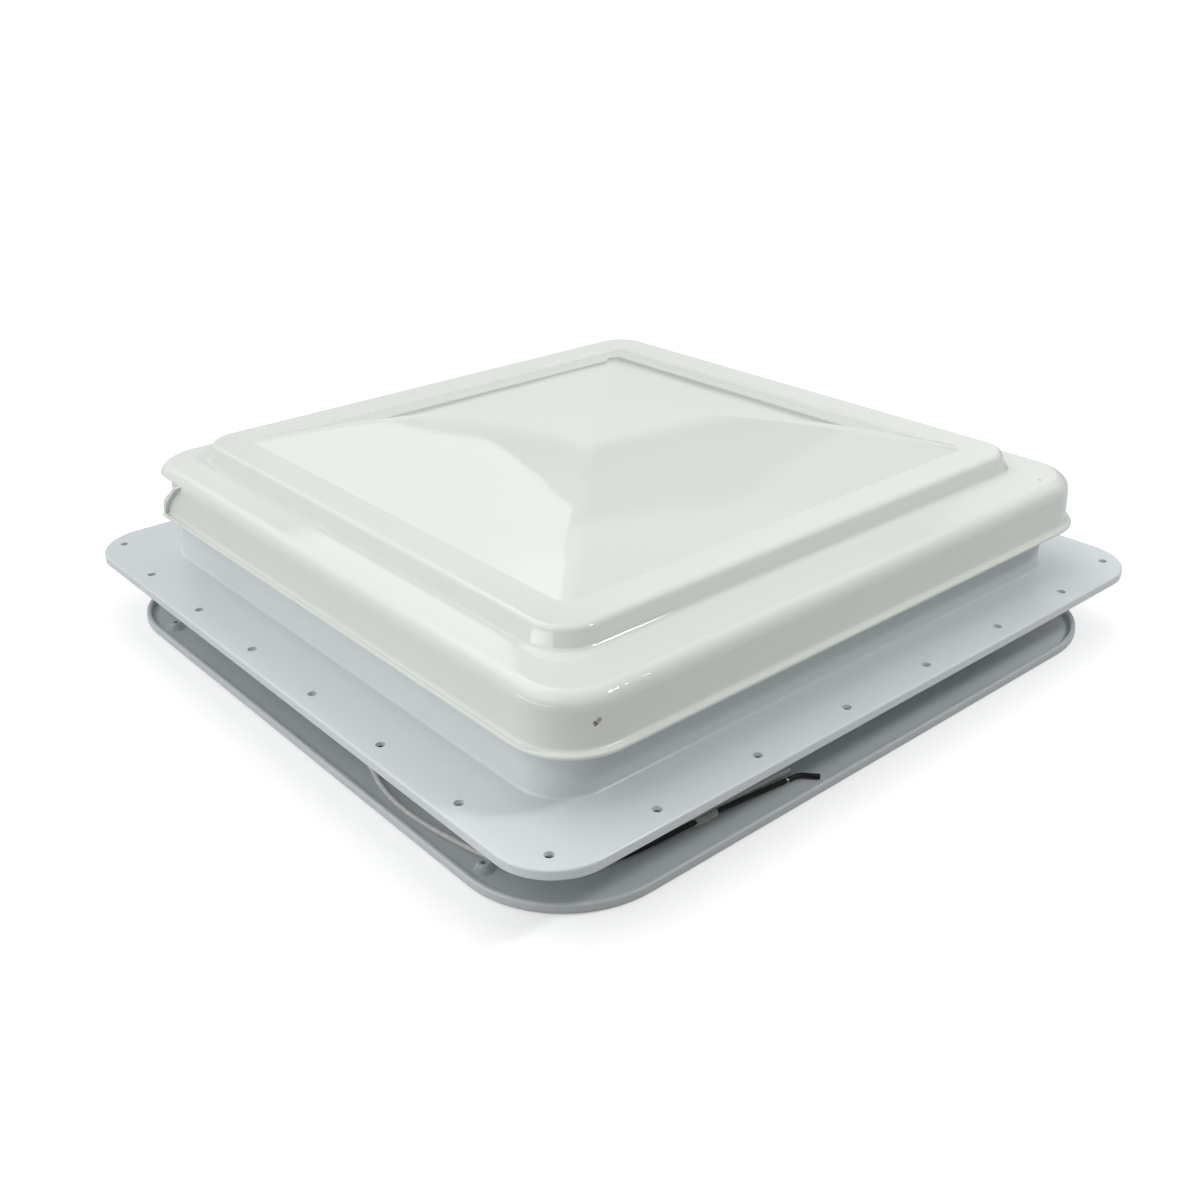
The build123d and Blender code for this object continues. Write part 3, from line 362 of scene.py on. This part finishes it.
@dataclass(frozen=True)
class ClosedFoam:
    """Black closed-cell foam with small pores, with painted shade in each pore and painted light
    on its rim.
    """

    name: str
    colour: Colour = (0.022, 0.022, 0.023)
    roughness: float = 0.85
    pore_scale: float = 900.0
    pore_depth: float = 0.0002
    # How much lighter the painted light on the pore rims is than the foam's colour.
    painted_rim_light_share: float = 1.9

    def build(self) -> bpy.types.Material:
        """Makes the material.

        Returns:
            The finished material.
        """
        graph = ShaderGraph(self.name)
        pores = graph.add("ShaderNodeTexVoronoi")
        pores.inputs["Scale"].default_value = self.pore_scale
        graph.join(graph.place, pores.inputs["Vector"])
        # Painted shade and light: each pore's hollow middle keeps the dark colour and its rim
        # turns lighter, as light would fall on the pores.
        light = tuple(channel * self.painted_rim_light_share for channel in self.colour)
        edge = graph.remap(pores.outputs["Distance"], 0.0, 1.0, 0.1, 0.7)
        graph.join(graph.blend(edge, self.colour, light), graph.surface.inputs["Base Color"])
        graph.surface.inputs["Roughness"].default_value = self.roughness
        graph.bump(pores.outputs["Distance"], 0.8, self.pore_depth)
        return graph.material


@dataclass(frozen=True)
class WireInsulation:
    """Semi-gloss flexible sleeve of a wire, with faint scuffs."""

    name: str
    colour: Colour
    roughness: float = 0.38
    smooth_share: float = 0.8
    rough_share: float = 1.3
    shade_share: float = 0.86
    scuff_scale: float = 420.0
    gloss_scale: float = 700.0
    grain_scale: float = 1800.0
    grain_depth: float = 0.00003

    def build(self) -> bpy.types.Material:
        """Makes the material.

        Returns:
            The finished material.
        """
        graph = ShaderGraph(self.name)
        scuffs = graph.remap(graph.noise(self.scuff_scale, 4.0), 0.0, 1.0)
        shade = tuple(channel * self.shade_share for channel in self.colour)
        graph.join(graph.blend(scuffs, self.colour, shade), graph.surface.inputs["Base Color"])
        rough = graph.remap(graph.noise(self.gloss_scale, 3.0), self.roughness * self.smooth_share,
                            self.roughness * self.rough_share)
        graph.join(rough, graph.surface.inputs["Roughness"])
        graph.bump(graph.noise(self.grain_scale, 2.0), 0.5, self.grain_depth)
        return graph.material


@dataclass(frozen=True)
class ClearTube:
    """Clear soft tube, slightly hazy."""

    name: str
    tint: Colour = (0.95, 0.95, 0.93)
    clearness: float = 0.8
    roughness: tuple[float, float] = (0.05, 0.14)
    haze_scale: float = 500.0
    ripple_scale: float = 900.0
    ripple_depth: float = 0.00003

    def build(self) -> bpy.types.Material:
        """Makes the material.

        Returns:
            The finished material.
        """
        graph = ShaderGraph(self.name)
        haze = graph.remap(graph.noise(self.haze_scale, 3.0), *self.roughness)
        graph.join(haze, graph.surface.inputs["Roughness"])
        graph.surface.inputs["Base Color"].default_value = (*self.tint, 1.0)
        graph.surface.inputs["Transmission Weight"].default_value = self.clearness
        graph.surface.inputs["IOR"].default_value = SOFT_TUBE_IOR
        graph.bump(graph.noise(self.ripple_scale, 2.0), 0.4, self.ripple_depth)
        return graph.material


LID_SPECKS = (
    Speck((-0.1787, -0.2038, 0.0868), 0.0015, (0.12, 0.09, 0.02)),
    Speck((-0.1772, -0.2042, 0.0881), 0.0013, (0.33, 0.30, 0.12)),
    Speck((0.1659, -0.1926, 0.1011), 0.0014, (0.55, 0.50, 0.38)),
)


@dataclass
class Workshop:
    """Builds each finish once and puts it on pieces."""

    made: dict[str, bpy.types.Material] = field(default_factory=dict)

    lid: Finish = MouldedPlastic("lid_gloss", (0.775, 0.815, 0.77), roughness=0.045,
                                 roughness_spread=0.01, mottle_scale=5.0, peel_scale=60.0,
                                 peel_depth=0.000006, grain_share=0.03,
                                 shade_share=0.985, specks=LID_SPECKS)
    base: Finish = MouldedPlastic("base_gloss", (0.715, 0.77, 0.785), roughness=0.2,
                                  roughness_spread=0.02, mottle_scale=4.0, peel_scale=150.0,
                                  peel_depth=0.000012, shade_share=0.985)
    # The tray is the base's plastic, given a colour about a tenth darker: painted shade for the
    # shade it lies in under the flange.
    garnish: Finish = MouldedPlastic("tray_satin_painted_shade", (0.64, 0.69, 0.70), roughness=0.4,
                                     peel_depth=0.00004, grain_share=0.6)
    inner: Finish = MouldedPlastic("inner_satin", (0.76, 0.77, 0.75), roughness=0.42,
                                   peel_depth=0.00003)
    nylon: Finish = MouldedPlastic("nylon", (0.80, 0.78, 0.70), roughness=0.45)
    black: Finish = MouldedPlastic("black_moulding", (0.018, 0.018, 0.019), roughness=0.45,
                                   shade_share=0.7, grain_share=0.7, peel_depth=0.00005)
    steel: Finish = PlatedMetal("zinc_plate", (0.60, 0.60, 0.57), (0.52, 0.54, 0.56))
    aluminium: Finish = PlatedMetal("mill_aluminium", (0.74, 0.74, 0.74), (0.66, 0.67, 0.68),
                                    roughness=0.4)
    motor: Finish = PlatedMetal("motor_steel", (0.34, 0.34, 0.35), (0.26, 0.26, 0.27),
                                roughness=0.4, streaks=(300.0, 300.0, 40.0))
    copper: Finish = PlatedMetal("copper_strands", (0.95, 0.82, 0.66), (0.88, 0.66, 0.48),
                                 roughness=0.22, streaks=(300.0, 4000.0, 4000.0))
    foam: Finish = ClosedFoam("seal_foam")
    net: Finish = WireInsulation("net_coating", (0.045, 0.046, 0.047), 0.55)
    white_wire: Finish = WireInsulation("white_insulation", (0.93, 0.93, 0.91), 0.25)
    black_wire: Finish = WireInsulation("black_insulation", (0.012, 0.012, 0.013))
    sleeve: Finish = ClearTube("clear_sleeve")

    def material(self, finish: Finish) -> bpy.types.Material:
        """Gives a finish's material, made at its first use.

        Args:
            finish: The finish wanted.

        Returns:
            Its material.
        """
        if finish.name not in self.made:
            self.made[finish.name] = finish.build()
        return self.made[finish.name]

    def dress(self, piece: bpy.types.Object, finish: Finish) -> None:
        """Puts a finish on a whole piece.

        Args:
            piece: The piece to dress.
            finish: Its finish.
        """
        material = self.material(finish)
        if not piece.material_slots:
            piece.data.materials.append(material)
        for holder in piece.material_slots:
            holder.material = material


# Meshes


def new_piece(name: str, form: bmesh.types.BMesh, smooth_angle: float = 35.0) -> bpy.types.Object:
    """Turns a finished form into a piece at the origin.

    Args:
        name: The piece's name.
        form: The form, which is freed.
        smooth_angle: Edges sharper than this, in degrees, stay crisp.

    Returns:
        The new object.
    """
    bmesh.ops.remove_doubles(form, verts=form.verts, dist=MERGE_DISTANCE)
    bmesh.ops.recalc_face_normals(form, faces=form.faces)
    for face in form.faces:
        face.smooth = True
    for edge in form.edges:
        if len(edge.link_faces) == 2:
            edge.smooth = edge.calc_face_angle(0.0) < math.radians(smooth_angle)
    mesh = bpy.data.meshes.new(name)
    form.to_mesh(mesh)
    form.free()
    piece = bpy.data.objects.new(name, mesh)
    bpy.context.scene.collection.objects.link(piece)
    return piece


# The free leads


@dataclass
class Leads:
    """The two supply leads that come out of the collar and lie in the ceiling tray.

    Their sizes and points are in millimetres. A level is the height of a lead's middle line.
    """

    workshop: Workshop
    radius: float = 1.35
    white_length: float = 318.0
    black_length: float = 313.0
    lying_level: float = 3.85
    sleeve_level: float = 5.0
    exit_x: float = -174.2
    exit_z: float = 35.3
    white_y: float = -23.25
    black_y: float = -26.75

    def white_route(self) -> list[Point]:
        """The white lead's points, in millimetres."""
        low = self.lying_level
        return [(self.exit_x, self.white_y, self.exit_z), (-187.5, self.white_y, self.exit_z),
                (-197.3, -27.5, 25.0), (-201.0, -35.5, 13.0), (-202.8, -45.5, 5.6),
                (-205.2, -57.5, low), (-210.3, -72.2, low), (-213.5, -93.4, low),
                (-212.6, -116.2, low), (-209.2, -136.1, low), (-206.3, -151.0, low),
                (-201.5, -163.5, low), (-195.0, -175.0, 5.2), (-186.0, -184.0, 7.0),
                (-175.0, -189.5, 7.8), (-162.5, -191.5, 7.2), (-148.0, -193.0, 5.0),
                (-131.0, -195.2, low), (-110.0, -197.6, low), (-91.0, -199.3, low),
                (-69.0, -200.2, low)]

    def black_route(self) -> list[Point]:
        """The black lead's points, in millimetres."""
        low, high = self.lying_level, self.sleeve_level
        return [(self.exit_x, self.black_y, self.exit_z), (-185.2, self.black_y, self.exit_z),
                (-191.6, -32.0, 25.0), (-192.5, -40.5, 13.0), (-193.8, -50.5, 5.4),
                (-195.3, -62.0, low), (-197.5, -80.0, low), (-199.0, -100.0, low),
                (-198.9, -120.0, low), (-197.2, -138.0, low), (-194.5, -153.0, low),
                (-190.5, -166.5, low), (-184.5, -179.0, low), (-175.5, -190.0, low),
                (-163.0, -196.5, low), (-143.0, -199.2, low), (-122.0, -201.3, high),
                (-98.0, -202.5, high), (-77.0, -203.8, low), (-57.6, -206.0, low)]

    def make(self, nodes: dict[str, bpy.types.Object]) -> list[str]:
        """Makes both leads and dresses what is on them.

        Args:
            nodes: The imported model's pieces by name.

        Returns:
            The names of the pieces made and dressed.
        """
        white = self._lead("white_lead_wire", self.white_route(), self.workshop.white_wire)
        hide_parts("white_lead")
        black = self._lead("black_lead_wire", self.black_route(), self.workshop.black_wire)
        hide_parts("black_lead")
        finishes: dict[str, Finish] = {
            "white_lead_stub": self.workshop.white_wire,
            "black_lead_stub": self.workshop.black_wire,
            "black_lead_copper": self.workshop.copper,
            "lead_sleeve": self.workshop.sleeve,
            "lead_grommet": self.workshop.black,
        }
        for name, finish in finishes.items():
            self.workshop.dress(nodes[name], finish)
        return [white.name, black.name, *finishes]

    def _lead(self, name: str, route: Iterable[Point], finish: Finish) -> bpy.types.Object:
        """Makes one lead as a round curve.

        Args:
            name: The piece's name.
            route: Its points, in millimetres.
            finish: Its finish.

        Returns:
            The lead.
        """
        points = [Vector(point) * MM for point in route]
        curve = bpy.data.curves.new(name, "CURVE")
        curve.dimensions = "3D"
        curve.bevel_depth = self.radius * MM
        curve.bevel_resolution = 5
        curve.resolution_u = 10
        curve.use_fill_caps = True
        spline = curve.splines.new("NURBS")
        spline.points.add(len(points) - 1)
        for knot, point in zip(spline.points, points):
            knot.co = (*point, 1.0)
        spline.order_u = 3
        spline.use_endpoint_u = True
        lead = bpy.data.objects.new(name, curve)
        bpy.context.scene.collection.objects.link(lead)
        self.workshop.dress(lead, finish)
        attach(lead, Body.BASE.value)
        return lead


# The insect net


@dataclass
class InsectNet:
    """The fine woven net that lies in the screen frame, cut off at the frame's two gussets.

    Its sizes are in millimetres.
    """

    workshop: Workshop
    half: float = 153.9
    corner: float = 21.4
    gusset_reach: float = 243.4
    level: float = 26.4
    pitch: float = 3.0
    strand: float = 0.5
    cross_strand_share: float = 0.8

    def _reach(self, offset: float) -> float:
        """Gives how far a strand reaches from the middle line, inside the round corners.

        Args:
            offset: The strand's distance from the middle line it runs beside.

        Returns:
            Its half length.
        """
        past = abs(offset) - (self.half - self.corner)
        if past <= 0:
            return self.half
        return self.half - self.corner + math.sqrt(max(self.corner ** 2 - past ** 2, 0.0))

    def make(self) -> list[str]:
        """Lays the net from straight strands in two layers.

        Returns:
            The name of the piece made.
        """
        form = bmesh.new()
        count = int(self.half // self.pitch)
        thick = self.strand
        for number in range(-count, count + 1):
            offset = number * self.pitch
            reach = self._reach(offset)
            front, rear = -reach, min(reach, self.gusset_reach - abs(offset))
            self._strand(form, (offset, (front + rear) / 2, self.level + thick / 2),
                         (thick, rear - front, thick))
            side = min(reach, self.gusset_reach - offset)
            self._strand(form, (0.0, offset, self.level + thick),
                         (2 * side, thick, thick * self.cross_strand_share))
        net = new_piece("woven_net", form)
        self.workshop.dress(net, self.workshop.net)
        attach(net, Body.BASE.value)
        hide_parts("insect_screen")
        return [net.name]

    @staticmethod
    def _strand(form: bmesh.types.BMesh, middle: Point, extent: Point) -> None:
        """Adds one strand.

        Args:
            form: The form to add to.
            middle: Its middle, in millimetres.
            extent: Its size along each axis, in millimetres.
        """
        place = Matrix.Translation(Vector(middle) * MM)
        size = Matrix.Diagonal((*(length * MM for length in extent), 1.0))
        bmesh.ops.create_cube(form, size=1.0, matrix=place @ size)


# The dressed assembly


@dataclass
class Mouldings:
    """The lid, base and ceiling tray with what is inside them, which keep their own forms."""

    workshop: Workshop

    def dress(self, nodes: dict[str, bpy.types.Object]) -> list[str]:
        """Puts the finishes on the mouldings and on what is inside them.

        Args:
            nodes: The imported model's pieces by name.

        Returns:
            The names of the pieces dressed.
        """
        shop = self.workshop
        finishes: dict[str, Finish] = {
            "lid_dome": shop.lid, "base_frame": shop.base, "garnish": shop.garnish,
            "lid_seal": shop.foam, "lift_track": shop.aluminium, "track_rivets": shop.aluminium,
            "slide_button": shop.nylon, "shaft_bush": shop.nylon, "fan_retainer": shop.nylon,
            "operator_bracket": shop.inner, "crank_knob": shop.inner, "fan_impeller": shop.inner,
            "screen_frame": shop.inner, "motor_can": shop.motor, "motor_cap": shop.black,
            "switch_housing": shop.black, "switch_rocker": shop.black,
        }
        for number in range(1, 5):
            finishes[f"screen_clip_{number}"] = shop.inner
        for name in ("hinge_pin_left", "hinge_pin_right", "lift_arm", "sector_gear",
                     "button_pin", "arm_pivot_pin", "worm_shaft", "knob_screw",
                     "operator_screws", "motor_bracket", "bracket_screws", "motor_screws",
                     "fan_shaft", "clip_screws", "switch_bracket", "switch_screws"):
            finishes[name] = shop.steel
        for name, finish in finishes.items():
            shop.dress(nodes[name], finish)
        return list(finishes)


# The studio


@dataclass(frozen=True)
class Wall:
    """One lighter stretch of the studio's walls or ceiling, in degrees.

    Turns are counted from +Y towards +X, and rises from the horizon up.
    """

    light: float
    turns: tuple[float, float]
    rises: tuple[float, float]
    edge: float = 4.0


STUDIO_WALLS = (
    Wall(0.60, (-110.0, 24.0), (-5.0, 27.0), 4.0),
    Wall(1.14, (-105.0, 29.0), (28.0, 66.0), 0.8),
    Wall(0.68, (-185.0, 185.0), (40.0, 95.0), 3.0),
    Wall(0.68, (24.0, 66.0), (2.0, 27.0), 3.0),
    Wall(0.40, (61.0, 110.0), (27.0, 40.0), 2.0),
    Wall(4.00, (-112.0, -50.0), (-5.0, 8.0), 5.0),
    Wall(0.30, (95.0, 150.0), (-5.0, 36.0), 20.0),
)


@dataclass
class Studio:
    """Pale floor, soft light and the camera at the photograph's angle."""

    camera_place: Point = (-0.48305, -0.56337, 0.37854)
    camera_turn: Point = (63.5641, 0.7634, -40.9110)
    lens: float = 39.573
    sensor: float = 36.0
    nearest_seen: float = 0.01
    floor_half: float = 30.0
    floor_colour: Colour = (0.42, 0.42, 0.42)
    floor_seen: Colour = (0.85, 0.85, 0.86)
    floor_roughness: float = 0.9
    floor_glow: float = 0.38
    mirror_share: float = 0.75
    dim: float = 0.07
    walls: tuple[Wall, ...] = STUDIO_WALLS
    lamp_place: Point = (0.60, -0.98, 1.17)
    lamp_target: Point = (-0.1, -0.1, 0.1)
    lamp_size: tuple[float, float] = (0.24, 0.19)
    lamp_power: float = 6.2

    def make_camera(self) -> None:
        """Sets up the camera."""
        data = bpy.data.cameras.new("camera")
        data.lens = self.lens
        data.sensor_width = self.sensor
        data.clip_start = self.nearest_seen
        camera = bpy.data.objects.new("camera", data)
        camera.location = self.camera_place
        camera.rotation_euler = [math.radians(angle) for angle in self.camera_turn]
        bpy.context.scene.collection.objects.link(camera)
        bpy.context.scene.camera = camera

    def make_floor(self) -> None:
        """Lays a large pale floor that keeps the vent's shadow and shows white to the camera.

        The vent stands on its ceiling tray, so the floor goes with the tray.
        """
        form = bmesh.new()
        bmesh.ops.create_grid(form, x_segments=1, y_segments=1, size=self.floor_half)
        floor = new_piece("floor", form)
        graph = ShaderGraph("pale_floor")
        graph.surface.inputs["Base Color"].default_value = (*self.floor_colour, 1.0)
        graph.surface.inputs["Roughness"].default_value = self.floor_roughness
        graph.surface.inputs["Specular IOR Level"].default_value = 0.0
        glow = graph.add("ShaderNodeEmission")
        path = graph.add("ShaderNodeLightPath")
        mirrored = graph.maths("MULTIPLY", path.outputs["Is Glossy Ray"], self.mirror_share)
        seen = graph.maths("MAXIMUM", path.outputs["Is Camera Ray"],
                           path.outputs["Is Transmission Ray"])
        pale = graph.add("ShaderNodeBsdfDiffuse")
        pale.inputs["Color"].default_value = (*self.floor_seen, 1.0)
        paint = graph.add("ShaderNodeMixShader")
        graph.join(seen, paint.inputs["Fac"])
        graph.join(graph.surface.outputs["BSDF"], paint.inputs[1])
        graph.join(pale.outputs["BSDF"], paint.inputs[2])
        seen = graph.maths("MAXIMUM", seen, mirrored)
        graph.join(graph.maths("MULTIPLY", seen, self.floor_glow), glow.inputs["Strength"])
        both = graph.add("ShaderNodeAddShader")
        graph.join(paint.outputs["Shader"], both.inputs[0])
        graph.join(glow.outputs["Emission"], both.inputs[1])
        graph.join(both.outputs["Shader"], graph.output.inputs["Surface"])
        floor.data.materials.append(graph.material)
        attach(floor, Body.GARNISH.value)

    def make_light(self) -> None:
        """Sets up the studio's walls and ceiling as a painted sky, and one small lamp."""
        world = bpy.data.worlds.new("studio")
        bpy.context.scene.world = world
        world.use_nodes = True
        sky = SkyGraph(world.node_tree)
        total = sky.maths("ADD", self.dim, 0.0)
        for wall in self.walls:
            total = sky.maths("ADD", total, sky.patch(wall))
        sky.finish(total)
        self._make_lamp()

    def _make_lamp(self) -> None:
        """Adds the soft box that gives the small highlights on the lid's near corner."""
        data = bpy.data.lights.new("front_lamp", "AREA")
        data.shape = "RECTANGLE"
        data.size, data.size_y = self.lamp_size
        data.energy = self.lamp_power
        lamp = bpy.data.objects.new("front_lamp", data)
        lamp.location = self.lamp_place
        aim = Vector(self.lamp_target) - Vector(self.lamp_place)
        lamp.rotation_euler = aim.to_track_quat("-Z", "Y").to_euler()
        bpy.context.scene.collection.objects.link(lamp)


RIPPLE_SCALE = 7.0
RIPPLE_DETAIL = 5.0
RIPPLE_SWING = 10.0
RIPPLE_RISE_SHARE = 0.4


class SkyGraph(NodeGraph):
    """The world's nodes, which paint light and dark stretches by their direction."""

    def __init__(self, tree: bpy.types.NodeTree) -> None:
        """Empties the tree and finds each ray's turn and rise, which waver a little.

        Args:
            tree: The world's node tree.
        """
        super().__init__(tree)
        self.place = self.add("ShaderNodeTexCoord").outputs["Generated"]
        parts = self.add("ShaderNodeSeparateXYZ")
        self.join(self.place, parts.inputs["Vector"])
        ripple = self.noise(RIPPLE_SCALE, RIPPLE_DETAIL)
        waver = self.maths("MULTIPLY_ADD", ripple, RIPPLE_SWING, -RIPPLE_SWING / 2)
        turn = self.maths("DEGREES", self.maths("ARCTAN2", parts.outputs["X"], parts.outputs["Y"]))
        self.turn = self.maths("ADD", turn, waver)
        rise = self.maths("DEGREES", self.maths("ARCSINE", parts.outputs["Z"]))
        self.rise = self.maths("ADD", rise, self.maths("MULTIPLY", waver, RIPPLE_RISE_SHARE))

    def _step(self, source: bpy.types.NodeSocket, middle: float, edge: float,
              falling: bool) -> bpy.types.NodeSocket:
        """Adds one soft edge.

        Args:
            source: The angle that it reads.
            middle: The angle of the edge.
            edge: How wide the edge is.
            falling: Whether it goes from 1 to 0.

        Returns:
            The edge's output.
        """
        low, high = (1.0, 0.0) if falling else (0.0, 1.0)
        return self.remap(source, low, high, middle - edge / 2, middle + edge / 2, "SMOOTHSTEP")

    def patch(self, wall: Wall) -> bpy.types.NodeSocket:
        """Paints one stretch.

        Args:
            wall: The stretch.

        Returns:
            Its light by direction.
        """
        edges = [self._step(self.turn, wall.turns[0], wall.edge, False),
                 self._step(self.turn, wall.turns[1], wall.edge, True),
                 self._step(self.rise, wall.rises[0], wall.edge, False),
                 self._step(self.rise, wall.rises[1], wall.edge, True)]
        light = self.maths("MULTIPLY", wall.light, edges[0])
        for edge in edges[1:]:
            light = self.maths("MULTIPLY", light, edge)
        return light

    def finish(self, total: bpy.types.NodeSocket) -> None:
        """Joins the sky to the world, white where it is looked at or seen through a clear piece.

        Args:
            total: The painted sky.
        """
        path = self.add("ShaderNodeLightPath")
        seen = self.maths("MAXIMUM", path.outputs["Is Camera Ray"],
                          path.outputs["Is Transmission Ray"])
        strength = self.add("ShaderNodeMix", data_type="FLOAT")
        painted, white = MIX_NUMBERS
        self.join(seen, strength.inputs["Factor"])
        self.join(total, strength.inputs[painted])
        strength.inputs[white].default_value = 1.0
        background = self.add("ShaderNodeBackground")
        background.inputs["Color"].default_value = (1.0, 1.0, 1.0, 1.0)
        self.join(strength.outputs[0], background.inputs["Strength"])
        output = self.add("ShaderNodeOutputWorld")
        self.join(background.outputs[0], output.inputs["Surface"])


def main() -> None:
    """Builds the whole scene."""
    logging.basicConfig(level=logging.INFO, format="%(name)s: %(message)s")
    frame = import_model()
    bpy.context.scene.view_settings.view_transform = "Standard"
    studio = Studio()
    studio.make_camera()
    workshop = Workshop()
    finished = Leads(workshop).make(frame["nodes"])
    finished += InsectNet(workshop).make()
    finished += Mouldings(workshop).dress(frame["nodes"])
    for name in finished:
        LOG.info("finished %s", name)
    studio.make_floor()
    studio.make_light()


if __name__ == "__main__":
    main()
